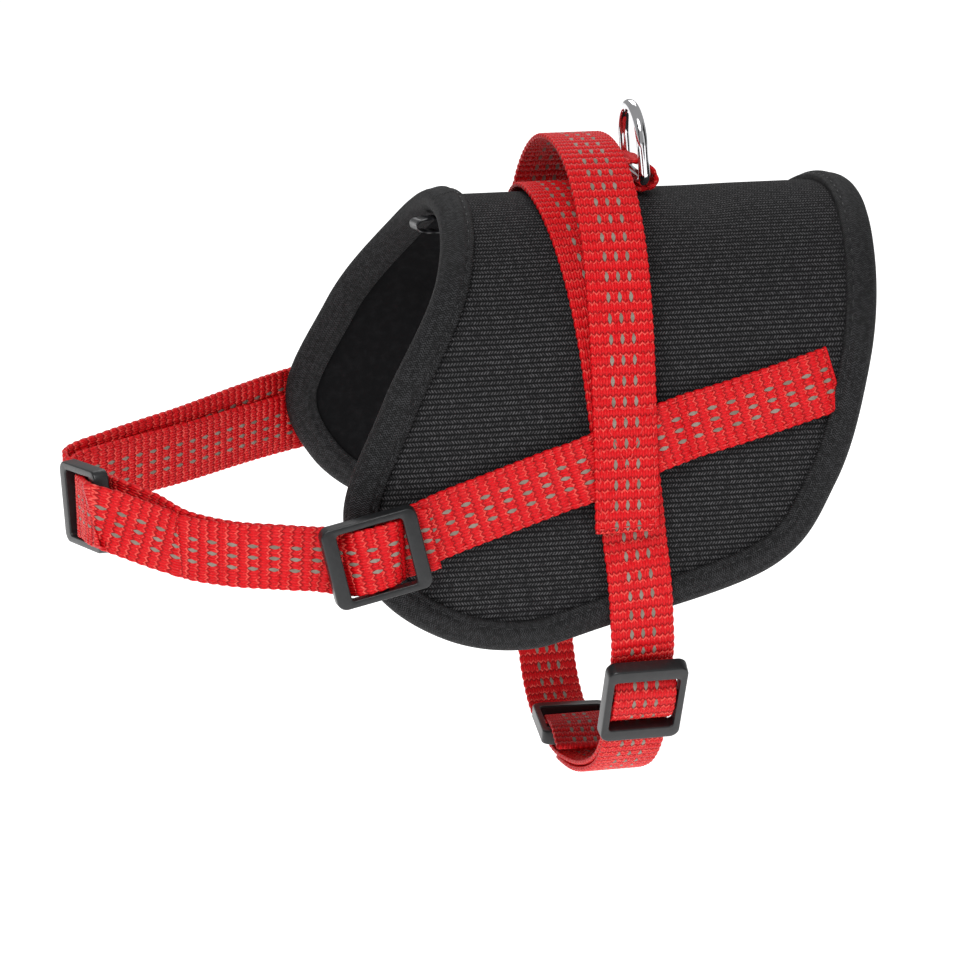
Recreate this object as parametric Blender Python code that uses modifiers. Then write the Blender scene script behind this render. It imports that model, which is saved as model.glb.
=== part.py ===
"""No pull harness for a small dog: a padded saddle, a chest strap, a girth strap with a handle, a lead ring.

Run it with: blender --background --python part.py

Frame, in metres: X along the dog's spine (+X to the tail), Y across (-Y is the dog's left), Z up.
The origin is on the lining, under the middle of the saddle's ridge, where the harness lies on the back.

The saddle is cut flat and wrapped over the back, so sewn pieces are laid out in "flat" coordinates:
x along the spine, s across the cloth from the ridge (minus to the left), and lift above the outer cloth.
"""

import math

import bmesh
import bpy
from mathutils import Matrix, Vector

# Cloth layers of the saddle, from the dog outwards, and the gap that neighbours keep.
GAP = 0.0003
LINING = 0.0006
FOAM = 0.0018
COVER = 0.0008
PANEL = LINING + GAP + FOAM + GAP + COVER

# Cross-section of the back: a tight arc over the ridge, then a slack one down each flank.
RIDGE_RADIUS = 0.044
RIDGE_SWEEP = math.radians(75)
FLANK_RADIUS = 0.200

# Outline of the flat saddle: s = HALF_SPAN * sin(a), with x read every 15 degrees of a,
# from the front of the ridge, round the bottom of a flap, to the back of the ridge.
# SLIP is how far the cloth has slid round the back to the left.
HALF_SPAN = 0.1195
SLIP = 0.0016
OUTLINE_STEP = 15
OUTLINE_X = (
    -0.0500, -0.0540, -0.0685, -0.0786, -0.0718, -0.0565, -0.0385,
    -0.0200, 0.0200, 0.0352, 0.0435, 0.0488, 0.0518,
)

# Binding tape, folded round the edge of the saddle.
TAPE = 0.0007
TAPE_LEG = 0.0045
ROLL = PANEL / 2 + GAP + TAPE / 2
EDGE_INSET = ROLL + TAPE / 2

# Webbing, and the heights of its middle above the outer cloth.
WEB = 0.0150
WEB_THICK = 0.0013
ON_CLOTH = GAP + WEB_THICK / 2
LAYER = WEB_THICK + GAP
ON_BINDING = ON_CLOTH + TAPE + GAP
ON_GIRTH = ON_CLOTH + LAYER
ON_CHEST = ON_GIRTH + LAYER

# Three-bar slider: outer size, bars and window.
SLIDER_LONG = 0.0220
SLIDER_WIDE = 0.0190
SLIDER_THICK = 0.0034
SLIDER_WINDOW = 0.0156
END_BAR = 0.0034
CENTRE_BAR = 0.0022
CENTRE_BAR_THICK = 0.0012
SLIDER_CORNER = 0.0022
# Heights above the middle of the webbing that a slider runs on.
LOOP_LOW = LAYER
SLIDER_FOOT = LOOP_LOW + WEB_THICK / 2 + GAP
SLIDER_TOP = SLIDER_FOOT + SLIDER_THICK
LOOP_HIGH = SLIDER_FOOT + CENTRE_BAR_THICK + 0.0014
LOOP_OVER = SLIDER_TOP + GAP + WEB_THICK / 2
# The webbing round the centre bar, as (along the strap, height): under both end bars, or over the second.
LOOP_UNDER_BARS = (
    (-0.0070, LOOP_LOW + 0.0003), (-0.0048, 0.55 * LOOP_HIGH + 0.45 * LOOP_LOW),
    (-0.0025, LOOP_HIGH), (0.0, LOOP_HIGH + 0.0002), (0.0025, LOOP_HIGH),
    (0.0048, 0.55 * LOOP_HIGH + 0.45 * LOOP_LOW), (0.0070, LOOP_LOW + 0.0003),
)
# Over the second bar and back down to the strap; the girth strap curves up to meet its own sooner.
OVER_BAR = (
    (-0.0070, LOOP_LOW + 0.0003), (-0.0048, 0.55 * LOOP_HIGH + 0.45 * LOOP_LOW),
    (-0.0025, LOOP_HIGH), (0.0, LOOP_HIGH + 0.0003), (0.0032, LOOP_HIGH + 0.0009),
    (0.0060, LOOP_OVER - 0.0002), (0.0082, LOOP_OVER), (0.0112, LOOP_OVER),
)
LOOP_OVER_CHEST = (
    *OVER_BAR, (0.0136, LOOP_OVER - 0.0012), (0.0172, LOOP_LOW + 0.0017), (0.0200, LOOP_LOW + 0.0008),
)
LOOP_OVER_GIRTH = (
    *OVER_BAR, (0.0136, LOOP_OVER - 0.0004), (0.0172, LOOP_LOW + 0.0042), (0.0205, LOOP_LOW + 0.0036),
)

# Chest strap on each flap, in the flat, from its back end: it shifts down where it crosses the girth strap.
CHEST_FLAT = (
    (0.0300, 0.0631), (0.0120, 0.0679), (-0.0066, 0.0725),
    (-0.0232, 0.0787), (-0.0393, 0.0839), (-0.0600, 0.0904),
)
# Middle line of the chest strap in front of the saddle, from the left flap to the right.
CHEST_ROUTE = (
    (-0.0729, -0.0513, -0.0649), (-0.0830, -0.0510, -0.0655), (-0.0950, -0.0497, -0.0645),
    (-0.1040, -0.0466, -0.0641), (-0.1130, -0.0411, -0.0629), (-0.1190, -0.0348, -0.0608),
    (-0.1258, -0.0298, -0.0585), (-0.1293, -0.0187, -0.0599), (-0.1321, -0.0100, -0.0611),
    (-0.1347, -0.0057, -0.0608), (-0.1348, -0.0017, -0.0604), (-0.1322, 0.0014, -0.0603),
    (-0.1275, 0.0048, -0.0603), (-0.1190, 0.0120, -0.0607), (-0.1064, 0.0230, -0.0616),
    (-0.0920, 0.0364, -0.0623), (-0.0845, 0.0434, -0.0628), (-0.0795, 0.0479, -0.0632),
    (-0.0735, 0.0514, -0.0632),
)
# The second layer outside it: left, between the sliders, a little lower than the first; right,
# from the corner back to the saddle, climbing away from the first.
OUTER_LEFT_SPAN = (-0.0500, -0.0400)
OUTER_LEFT_RISES = (-0.0006, -0.0006)
OUTER_RIGHT_SPAN = (-0.0066, 0.0640)
OUTER_RIGHT_RISES = (0.0014, 0.0068)

# Girth strap: over the saddle, leaning back as it goes down, then under the belly.
GIRTH_X = -0.0205
GIRTH_LEAN = 0.098
GIRTH_SPLICE = 0.0752
GIRTH_EDGE = 0.1100
BELLY_ROUTE = (
    (-0.0112, -0.0514, -0.0868), (-0.0109, -0.0510, -0.0912), (-0.0105, -0.0491, -0.0955),
    (-0.0102, -0.0456, -0.1040), (-0.0101, -0.0421, -0.1125), (-0.0101, -0.0380, -0.1200),
    (-0.0102, -0.0320, -0.1262), (-0.0105, -0.0245, -0.1307), (-0.0109, -0.0160, -0.1343),
    (-0.0113, -0.0070, -0.1369), (-0.0117, 0.0010, -0.1385), (-0.0119, 0.0097, -0.1389),
    (-0.0118, 0.0190, -0.1393), (-0.0118, 0.0285, -0.1378), (-0.0119, 0.0360, -0.1335),
    (-0.0120, 0.0410, -0.1272), (-0.0121, 0.0442, -0.1190), (-0.0121, 0.0468, -0.1100),
    (-0.0120, 0.0490, -0.1005), (-0.0117, 0.0508, -0.0915),
)
BELLY_OUTER_SPAN = (-0.0380, 0.0020)

# Handle: the top layer, sewn to each flap below the chest strap and arched over the ridge.
HANDLE_X = -0.0145
HANDLE_LEAN = 0.020
HANDLE_LEAN_END = 0.045
HANDLE_END = 0.0930
HANDLE_SEWN = 0.0640
HANDLE_RISE = 0.0122

# Lead ring and the webbing tab that holds it, behind the girth strap.
WIRE = 0.0027
RING_WIDE = 0.0170
RING_TALL = 0.0166
RING_CORNER = 0.0022
RING_PIVOT = (-0.0009, 0.0, 0.0069)
RING_LEAN = math.radians(-5)
TAB_WIDE = 0.0126
TAB_THICK = 0.0010
# (x, lift) of its middle line: back under the ring's bar, round, and forward over it.
TAB_ROUTE = (
    (-0.0119, 0.0008), (-0.0050, 0.0008), (0.0000, 0.0009), (0.0022, 0.0017),
    (0.0026, 0.0034), (0.0010, 0.0060), (-0.0027, 0.0074), (-0.0072, 0.0064),
    (-0.0105, 0.0042), (-0.0119, 0.0029),
)

# Folded label, sewn inside the front of the ridge: (x, lift) of its middle line.
LABEL_WIDE = 0.0096
LABEL_THICK = 0.0005
LABEL_S = 0.0060
LABEL_ROUTE = (
    (-0.0440, -0.0058), (-0.0490, -0.0058), (-0.0520, -0.0061), (-0.0532, -0.0073),
    (-0.0520, -0.0086), (-0.0490, -0.0089), (-0.0440, -0.0085),
)

# Sliders: a point on the strap's middle line, the way along it, the side the frame stands on, its webbing.
SLIDERS = {
    "left_chest_slider": (
        (-0.0729, -0.0512, -0.0648), (-0.9760, 0.0, -0.2180), (0.0, -0.9980, 0.0650), LOOP_UNDER_BARS),
    "right_chest_slider": (
        (-0.1293, -0.0187, -0.0599), (0.3000, -0.9444, 0.1350), (-0.9530, -0.3029, 0.0), LOOP_OVER_CHEST),
    "left_girth_slider": (
        (-0.0102, -0.0456, -0.1040), (0.0, 0.3800, -0.9250), (0.0, -0.9250, -0.3800), LOOP_UNDER_BARS),
    "right_girth_slider": (
        (-0.0119, 0.0097, -0.1389), (-0.0900, -0.9951, 0.0400), (0.0, 0.0400, 0.9992), LOOP_OVER_GIRTH),
}

STEP = 0.003


def clear_scene():
    for obj in list(bpy.data.objects):
        bpy.data.objects.remove(obj)


def new_collection(name):
    collection = bpy.data.collections.new(name)
    bpy.context.scene.collection.children.link(collection)
    return collection


def material(name, colour, roughness, metallic=0.0):
    made = bpy.data.materials.new(name)
    made.use_nodes = True
    shader = made.node_tree.nodes["Principled BSDF"]
    shader.inputs["Base Color"].default_value = (*colour, 1.0)
    shader.inputs["Roughness"].default_value = roughness
    shader.inputs["Metallic"].default_value = metallic
    return made


def object_from(name, bm, look, collection):
    mesh = bpy.data.meshes.new(name)
    bm.to_mesh(mesh)
    bm.free()
    obj = bpy.data.objects.new(name, mesh)
    obj.data.materials.append(look)
    collection.objects.link(obj)
    return obj


def solidify(obj, thickness):
    """Thickness to both sides of an open surface."""
    modifier = obj.modifiers.new("thickness", "SOLIDIFY")
    modifier.thickness = thickness
    modifier.offset = 0.0
    modifier.use_even_offset = True


def catmull_rom(before, start, end, after, share):
    """A point between start and end on the smooth curve through all four."""
    return 0.5 * (
        2 * start
        + (end - before) * share
        + (2 * before - 5 * start + 4 * end - after) * share**2
        + (3 * start - before - 3 * end + after) * share**3
    )


def outline(angle):
    """A point (x, s) of the saddle's flat outline; angle in degrees, 0 at the front of the ridge."""
    count = len(OUTLINE_X) - 1
    turned = abs((angle + 180) % 360 - 180) / OUTLINE_STEP
    index = min(int(turned), count - 1)
    mirrored = [OUTLINE_X[min(abs(k), 2 * count - k)] for k in range(index - 1, index + 3)]
    x = catmull_rom(*mirrored, turned - index)
    return Vector((x, HALF_SPAN * math.sin(math.radians(angle)) - SLIP))


def inset_outline(angle, inset):
    """The outline moved inwards by inset, square to itself."""
    before, after = outline(angle - 0.5), outline(angle + 0.5)
    along = (after - before).normalized()
    return outline(angle) + inset * Vector((along.y, -along.x))


def wrap(x, s, lift):
    """The place and the outward normal of a flat point, on the wrapped saddle."""
    side = 1 if s >= 0 else -1
    ridge_length = RIDGE_RADIUS * RIDGE_SWEEP
    if abs(s) <= ridge_length:
        turn = abs(s) / RIDGE_RADIUS
        radius = RIDGE_RADIUS
        centre_y, centre_z = 0.0, PANEL - RIDGE_RADIUS
    else:
        turn = RIDGE_SWEEP + (abs(s) - ridge_length) / FLANK_RADIUS
        radius = FLANK_RADIUS
        centre_y = (RIDGE_RADIUS - FLANK_RADIUS) * math.sin(RIDGE_SWEEP)
        centre_z = PANEL - RIDGE_RADIUS + (RIDGE_RADIUS - FLANK_RADIUS) * math.cos(RIDGE_SWEEP)
    normal = Vector((0.0, side * math.sin(turn), math.cos(turn)))
    place = Vector((x, side * centre_y, centre_z)) + (radius + lift) * normal
    return place, normal


def saddle_layer(name, lift, thickness, look, collection, rows=36, columns=4):
    """One layer of the saddle: a grid between the front and the back outline, wrapped."""
    bm = bmesh.new()
    bmesh.ops.create_grid(bm, x_segments=columns, y_segments=rows, size=1)
    for vert in bm.verts:
        angle = 90 * vert.co.y
        front = inset_outline(angle, EDGE_INSET)
        back = inset_outline(180 - angle, EDGE_INSET)
        flat = front.lerp(back, (vert.co.x + 1) / 2)
        vert.co = wrap(flat.x, flat.y, lift)[0]
    bmesh.ops.remove_doubles(bm, verts=bm.verts, dist=1e-5)
    bmesh.ops.recalc_face_normals(bm, faces=bm.faces)
    obj = object_from(name, bm, look, collection)
    solidify(obj, thickness)
    return obj


def binding_section(share):
    """(inset, lift) of the tape's middle: up the inside leg, round the edge, down the outside leg."""
    bend = math.pi * ROLL
    along = share * (2 * TAPE_LEG + bend)
    middle = -PANEL / 2
    if along < TAPE_LEG:
        return EDGE_INSET + TAPE_LEG - along, middle - ROLL
    if along > TAPE_LEG + bend:
        return EDGE_INSET + along - TAPE_LEG - bend, middle + ROLL
    turn = (along - TAPE_LEG) / ROLL
    return EDGE_INSET - ROLL * math.sin(turn), middle - ROLL * math.cos(turn)


def edge_binding(look, collection, around=72, across=10):
    bm = bmesh.new()
    bmesh.ops.create_grid(bm, x_segments=around, y_segments=across, size=1)
    for vert in bm.verts:
        inset, lift = binding_section((vert.co.y + 1) / 2)
        flat = inset_outline(180 * vert.co.x, inset)
        vert.co = wrap(flat.x, flat.y, lift)[0]
    bmesh.ops.remove_doubles(bm, verts=bm.verts, dist=1e-5)
    bmesh.ops.recalc_face_normals(bm, faces=bm.faces)
    obj = object_from("edge_binding", bm, look, collection)
    solidify(obj, TAPE)
    return obj


def smooth_route(points, step=STEP):
    """Points about step apart, on the smooth curve through the route's own points."""
    points = [Vector(p) for p in points]
    ends = [2 * points[0] - points[1], *points, 2 * points[-1] - points[-2]]
    route = []
    for before, start, end, after in zip(ends, ends[1:], ends[2:], ends[3:]):
        count = max(1, round((end - start).length / step))
        route += [catmull_rom(before, start, end, after, k / count) for k in range(count)]
    return [*route, points[-1]]


def tangent(places, k):
    return (places[min(k + 1, len(places) - 1)] - places[max(k - 1, 0)]).normalized()


def ribbon(name, places, normals, width, thickness, look, collection, across=2):
    """A strap: its middle line, its outward normals, and a flat section swept along them."""
    bm = bmesh.new()
    last = len(places) - 1
    bmesh.ops.create_grid(bm, x_segments=last, y_segments=across, size=1)
    for vert in bm.verts:
        k = round((vert.co.x + 1) / 2 * last)
        sideways = normals[k].cross(tangent(places, k)).normalized()
        vert.co = places[k] + sideways * (vert.co.y * width / 2)
    obj = object_from(name, bm, look, collection)
    solidify(obj, thickness)
    return obj


def sewn_run(points, side, lift_at):
    """Places and normals along points in the flat, on the right (side 1) or the left (side -1)."""
    flats = smooth_route([(x, side * s) for x, s in points])
    return [wrap(flat.x, flat.y, lift_at(flat)) for flat in flats]


def eased(value, low, high):
    """0 up to low, 1 from high on, with a smooth step between."""
    share = min(1.0, max(0.0, (value - low) / (high - low)))
    return share * share * (3 - 2 * share)


def girth_x(s):
    """Where the girth strap's middle lies in the flat: it leans back down each flank."""
    return GIRTH_X + GIRTH_LEAN * (math.hypot(s, 0.02) - 0.02)


def level_normals(places):
    """Level normals of an upright strap, to the left of its way."""
    up = Vector((0, 0, 1))
    return [up.cross(tangent(places, k)).normalized() for k in range(len(places))]


def chest_lift(flat):
    """The chest strap lies on the cloth, steps over the girth strap, and then over the binding."""
    over_girth = 1 - eased(abs(flat.x - girth_x(abs(flat.y))), 0.0108, 0.0165)
    over_edge = 1 - eased(flat.x, -0.0612, -0.0532)
    return ON_CLOTH + (ON_GIRTH - ON_CLOTH) * over_girth + (ON_BINDING - ON_CLOTH) * over_edge


def second_layer(name, places, normals, rises, look, collection):
    """A strap that lies on the outside of another, rising above it by rises."""
    up = Vector((0, 0, 1))
    lifted = [p + n * LAYER + up * rise for p, n, rise in zip(places, normals, rises)]
    return ribbon(name, lifted, normals, WEB, WEB_THICK, look, collection)


def chest_straps(look, collection):
    sewn_left = sewn_run(CHEST_FLAT, -1, chest_lift)
    sewn_right = sewn_run(reversed(CHEST_FLAT), 1, chest_lift)
    free = smooth_route((sewn_left[-1][0], *CHEST_ROUTE, sewn_right[0][0]))[1:-1]
    places = [p for p, _ in sewn_left] + free + [p for p, _ in sewn_right]
    level = level_normals(places)
    normals = [n for _, n in sewn_left] + level[len(sewn_left):-len(sewn_right)] + [n for _, n in sewn_right]
    ribbon("chest_strap", places, normals, WEB, WEB_THICK, look, collection)

    in_front = range(len(sewn_left), len(places) - len(sewn_right) + 2)
    across = [place.y for place in places]
    left = [k for k in in_front if OUTER_LEFT_SPAN[0] < across[k] < OUTER_LEFT_SPAN[1] and places[k].x < -0.09]
    right = [k for k in in_front if OUTER_RIGHT_SPAN[0] < across[k] < OUTER_RIGHT_SPAN[1]]
    for name, span, (first, last) in (
        ("chest_strap_outer_left", left, OUTER_LEFT_RISES),
        ("chest_strap_outer_right", right, OUTER_RIGHT_RISES),
    ):
        rises = [first + (last - first) * i / (len(span) - 1) for i in range(len(span))]
        second_layer(name, [places[k] for k in span], [normals[k] for k in span], rises, look, collection)


def across_saddle(x_at, lift_at, reach):
    """Places and normals of a strap that crosses the ridge from left to right."""
    count = round(2 * reach / STEP)
    spans = [reach * (2 * k / count - 1) for k in range(count + 1)]
    return [wrap(x_at(s), s, lift_at(s)) for s in spans]


def girth_straps(look, collection):
    over = across_saddle(girth_x, lambda s: ON_CLOTH, GIRTH_SPLICE - GAP / 2)
    ribbon("girth_strap", [p for p, _ in over], [n for _, n in over], WEB, WEB_THICK, look, collection, 1)

    def belly_lift(flat):
        return ON_CLOTH + (ON_BINDING - ON_CLOTH) * eased(abs(flat.y), 0.0960, 0.1030)

    spans = [GIRTH_SPLICE + GAP / 2 + (GIRTH_EDGE - GIRTH_SPLICE) * k / 4 for k in range(5)]
    down = [(girth_x(s), s) for s in spans]
    left = sewn_run(down, -1, belly_lift)
    right = sewn_run(reversed(down), 1, belly_lift)
    free = smooth_route([left[-1][0], *BELLY_ROUTE, right[0][0]])[1:-1]
    places = [p for p, _ in left] + free + [p for p, _ in right]
    along = Vector((1, 0, 0))
    normals = [tangent(places, k).cross(along).normalized() for k in range(len(places))]
    ribbon("belly_strap", places, normals, WEB, WEB_THICK, look, collection, 1)
    span = [k for k in range(len(left), len(places) - len(right))
            if BELLY_OUTER_SPAN[0] < places[k].y < BELLY_OUTER_SPAN[1]]
    second_layer("belly_strap_outer", [places[k] for k in span], [normals[k] for k in span],
                 [0.0] * len(span), look, collection)


def handle_strap(look, collection):
    def lift(s):
        return ON_CHEST + (HANDLE_RISE - ON_CHEST) * (1 - eased(abs(s), 0.008, HANDLE_SEWN))

    def x_at(s):
        return HANDLE_X - HANDLE_LEAN * min(abs(s), HANDLE_LEAN_END)

    arch = across_saddle(x_at, lift, HANDLE_END)
    return ribbon("handle_strap", [p for p, _ in arch], [n for _, n in arch], WEB, WEB_THICK, look, collection)


def folded_strip(name, route, s, width, thickness, look, collection):
    """A strip folded over itself in the plane square to the cloth at s, as the tab and the label are."""
    normal = wrap(0.0, s, 0.0)[1]
    across = normal.cross(Vector((1, 0, 0)))
    places = [wrap(x, s, lift)[0] for x, lift in smooth_route(route, 0.0014)]
    normals = [tangent(places, k).cross(across).normalized() for k in range(len(places))]
    return ribbon(name, places, normals, width, thickness, look, collection, 1)


def poly_curve(name, points, look, collection, closed=True):
    curve = bpy.data.curves.new(name, "CURVE")
    spline = curve.splines.new("POLY")
    spline.points.add(len(points) - 1)
    for made, point in zip(spline.points, points):
        made.co = (*point, 1.0)
    spline.use_cyclic_u = closed
    curve.materials.append(look)
    obj = bpy.data.objects.new(name, curve)
    collection.objects.link(obj)
    return obj


def arc(centre, radius, start, end, count):
    """Points of an arc in a plane; angles in degrees."""
    angles = [math.radians(start + (end - start) * k / count) for k in range(count + 1)]
    return [(centre[0] + radius * math.cos(a), centre[1] + radius * math.sin(a)) for a in angles]


def lead_ring(look, collection):
    """A D-shaped ring of round wire, its straight bar on the pivot, leaning a little forward."""
    half = RING_WIDE / 2
    corner = half - RING_CORNER
    outline_yz = (
        arc((0, RING_TALL - half), half, 0, 180, 14)
        + arc((-corner, RING_CORNER), RING_CORNER, 180, 270, 4)
        + arc((corner, RING_CORNER), RING_CORNER, 270, 360, 4)
    )
    ring = poly_curve("lead_ring", [(0.0, y, z) for y, z in outline_yz], look, collection)
    ring.data.dimensions = "3D"
    ring.data.bevel_depth = WIRE / 2
    ring.data.bevel_resolution = 2
    ring.location = RING_PIVOT
    ring.rotation_euler = (0, RING_LEAN, 0)
    return ring


def rounded_rectangle(long, wide, corner):
    half_x, half_y = long / 2 - corner, wide / 2 - corner
    corners = ((half_x, half_y, 0), (-half_x, half_y, 90), (-half_x, -half_y, 180), (half_x, -half_y, 270))
    return [p for x, y, start in corners for p in arc((x, y), corner, start, start + 90, 4)]


def slider_frame(name, look, collection, hidden):
    """The frame of a three-bar slider: a rounded plate with one window, and a thin bar joined across it."""
    plate = poly_curve(name + "_plate", [(*p, 0) for p in rounded_rectangle(SLIDER_LONG, SLIDER_WIDE, SLIDER_CORNER)],
                       look, collection)
    window = rounded_rectangle(SLIDER_LONG - 2 * END_BAR, SLIDER_WINDOW, 0.0006)
    hole = plate.data.splines.new("POLY")
    hole.points.add(len(window) - 1)
    for made, point in zip(hole.points, window):
        made.co = (*point, 0.0, 1.0)
    hole.use_cyclic_u = True
    plate.data.dimensions = "2D"
    plate.data.fill_mode = "BOTH"
    plate.data.extrude = SLIDER_THICK / 2
    graph = bpy.context.evaluated_depsgraph_get()
    mesh = bpy.data.meshes.new_from_object(plate.evaluated_get(graph))
    mesh.name = name
    bpy.data.objects.remove(plate)
    bm = bmesh.new()
    bm.from_mesh(mesh)
    bmesh.ops.remove_doubles(bm, verts=bm.verts, dist=1e-6)
    bm.to_mesh(mesh)
    bm.free()
    frame = bpy.data.objects.new(name, mesh)
    collection.objects.link(frame)

    bar = bmesh.new()
    bmesh.ops.create_cube(bar, size=1)
    bmesh.ops.scale(bar, vec=(CENTRE_BAR, SLIDER_WINDOW + 0.002, CENTRE_BAR_THICK), verts=bar.verts)
    low = (CENTRE_BAR_THICK - SLIDER_THICK) / 2
    bmesh.ops.translate(bar, vec=(0, 0, low), verts=bar.verts)
    centre_bar = object_from(name + "_bar", bar, look, hidden)
    centre_bar.hide_render = True
    centre_bar.display_type = "WIRE"

    join = frame.modifiers.new("centre bar", "BOOLEAN")
    join.operation = "UNION"
    join.object = centre_bar
    return frame, centre_bar


def slider_loop(name, profile, look, collection):
    """The webbing at the centre bar, which travels with the slider."""
    places = smooth_route([(along, 0, height) for along, height in profile], 0.0012)
    normals = [tangent(places, k).cross(Vector((0, 1, 0))).normalized() for k in range(len(places))]
    return ribbon(name, places, normals, WEB, WEB_THICK, look, collection, 1)


def place_on_strap(objects, place, along, outward):
    """Turns local x to along and local z to outward, with the origin on the strap's middle."""
    x_axis = Vector(along).normalized()
    z_axis = Vector(outward)
    z_axis = (z_axis - z_axis.dot(x_axis) * x_axis).normalized()
    y_axis = z_axis.cross(x_axis)
    matrix = Matrix((x_axis, y_axis, z_axis)).transposed().to_4x4()
    matrix.translation = Vector(place)
    for obj, rise in objects:
        obj.matrix_world = matrix @ Matrix.Translation((0, 0, rise))


def sliders(plastic, web, collection, hidden):
    for name, (place, along, outward, profile) in SLIDERS.items():
        frame, bar = slider_frame(name, plastic, collection, hidden)
        loop = slider_loop(name + "_loop", profile, web, collection)
        frame_rise = SLIDER_FOOT + SLIDER_THICK / 2
        place_on_strap([(frame, frame_rise), (bar, frame_rise), (loop, 0.0)], place, along, outward)


def shade(collection):
    for obj in collection.objects:
        if obj.type == "MESH":
            obj.data.shade_smooth()
            obj.data.set_sharp_from_angle(angle=math.radians(35))


def build():
    clear_scene()
    harness = new_collection("no_pull_harness")
    hidden = new_collection("cutters_and_bars")
    cloth = material("black_cover", (0.012, 0.012, 0.013), 0.9)
    foam = material("black_foam", (0.02, 0.02, 0.02), 0.95)
    lining = material("black_lining", (0.008, 0.008, 0.009), 0.95)
    tape = material("black_tape", (0.010, 0.010, 0.011), 0.85)
    red_web = material("red_webbing", (0.75, 0.010, 0.012), 0.6)
    plastic = material("black_plastic", (0.03, 0.03, 0.032), 0.4)
    chrome = material("chrome", (0.75, 0.75, 0.75), 0.12, 1.0)
    label = material("dark_label", (0.05, 0.05, 0.055), 0.5)

    saddle_layer("saddle_lining", -PANEL + LINING / 2, LINING, lining, harness)
    saddle_layer("saddle_foam", -COVER - GAP - FOAM / 2, FOAM, foam, harness)
    saddle_layer("saddle_cover", -COVER / 2, COVER, cloth, harness)
    edge_binding(tape, harness)
    chest_straps(red_web, harness)
    girth_straps(red_web, harness)
    handle_strap(red_web, harness)
    sliders(plastic, red_web, harness, hidden)
    folded_strip("ring_tab", TAB_ROUTE, 0.0, TAB_WIDE, TAB_THICK, red_web, harness)
    lead_ring(chrome, harness)
    folded_strip("neck_label", LABEL_ROUTE, LABEL_S, LABEL_WIDE, LABEL_THICK, label, harness)
    shade(harness)


build()
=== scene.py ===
"""Looks for a no pull dog harness: padded dark saddle, red webbing, adjusters, handle and lead ring."""

import math

import bmesh
import bpy
import numpy as np
from mathutils import Matrix, Vector


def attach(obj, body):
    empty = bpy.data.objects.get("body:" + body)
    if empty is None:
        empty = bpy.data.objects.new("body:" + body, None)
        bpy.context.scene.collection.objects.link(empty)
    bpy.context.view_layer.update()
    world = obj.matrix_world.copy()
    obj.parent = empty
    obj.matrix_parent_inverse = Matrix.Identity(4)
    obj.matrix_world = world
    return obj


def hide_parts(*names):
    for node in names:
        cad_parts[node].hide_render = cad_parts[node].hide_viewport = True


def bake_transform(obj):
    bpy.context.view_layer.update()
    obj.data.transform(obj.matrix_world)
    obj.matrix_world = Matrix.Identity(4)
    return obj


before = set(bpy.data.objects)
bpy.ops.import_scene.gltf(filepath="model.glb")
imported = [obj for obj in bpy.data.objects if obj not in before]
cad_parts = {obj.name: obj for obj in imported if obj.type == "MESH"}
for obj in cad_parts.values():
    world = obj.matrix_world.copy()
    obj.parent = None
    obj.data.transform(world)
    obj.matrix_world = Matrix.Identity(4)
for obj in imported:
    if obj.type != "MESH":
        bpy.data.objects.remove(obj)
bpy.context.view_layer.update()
UP = Vector((0, 0, 1))

# --- Camera, floor and light -------------------------------------------------------------------
# Low three-quarter view of the near side; white floor, a soft key light from above and in front, a
# weak fill and a rim light, and dark cards beside the view that only the bright metal mirrors.
LOOK_AT = Vector((-0.0380, 0.0, -0.0662))
LOOKING = Vector((0.1934, 0.9339, -0.3007)).normalized()
CAMERA_AWAY, FLOOR_HEIGHT = 0.680, -0.190
camera_data = bpy.data.cameras.new("camera")
camera_data.lens = 105.9
camera_data.clip_start, camera_data.clip_end = 0.01, 50
camera = bpy.data.objects.new("camera", camera_data)
camera.location = LOOK_AT - CAMERA_AWAY * LOOKING
camera.rotation_mode = "QUATERNION"
camera.rotation_quaternion = LOOKING.to_track_quat("-Z", "Y")
bpy.context.scene.collection.objects.link(camera)
bpy.context.scene.camera = camera
bpy.context.scene.view_settings.view_transform = "Standard"


def plain(name, colour, roughness, emission=0.0):
    made = bpy.data.materials.new(name)
    made.use_nodes = True
    shader = made.node_tree.nodes["Principled BSDF"]
    shader.inputs["Base Color"].default_value = (*colour, 1)
    shader.inputs["Roughness"].default_value = roughness
    shader.inputs["Emission Color"].default_value = (*colour, 1)
    shader.inputs["Emission Strength"].default_value = emission
    return made


def card(name, size, place, facing, look):
    """A flat rectangle that faces a point."""
    bm = bmesh.new()
    bmesh.ops.create_grid(bm, x_segments=1, y_segments=1, size=0.5)
    bmesh.ops.scale(bm, vec=(*size, 1), verts=bm.verts)
    mesh = bpy.data.meshes.new(name)
    bm.to_mesh(mesh)
    bm.free()
    mesh.materials.append(look)
    made = bpy.data.objects.new(name, mesh)
    made.location = place
    made.rotation_mode = "QUATERNION"
    made.rotation_quaternion = (Vector(facing) - Vector(place)).to_track_quat("Z", "Y")
    bpy.context.scene.collection.objects.link(made)
    return made


white = plain("floor", (0.92, 0.92, 0.92), 0.9, emission=0.80)
card("floor", (12, 12), (0, 0, FLOOR_HEIGHT), (0, 0, 1), white)
for name, size, place in (
    ("dark_card_right", (0.5, 0.7), (0.55, -0.25, 0.10)),
    ("dark_card_left", (0.25, 0.6), (-0.55, -0.30, 0.20)),
    ("dark_card_behind", (0.5, 0.3), (0.10, -0.95, -0.05)),
):
    dark = card(name, size, place, LOOK_AT, plain(name, (0.01, 0.01, 0.01), 0.9))
    dark.visible_camera = dark.visible_diffuse = dark.visible_shadow = False

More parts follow.
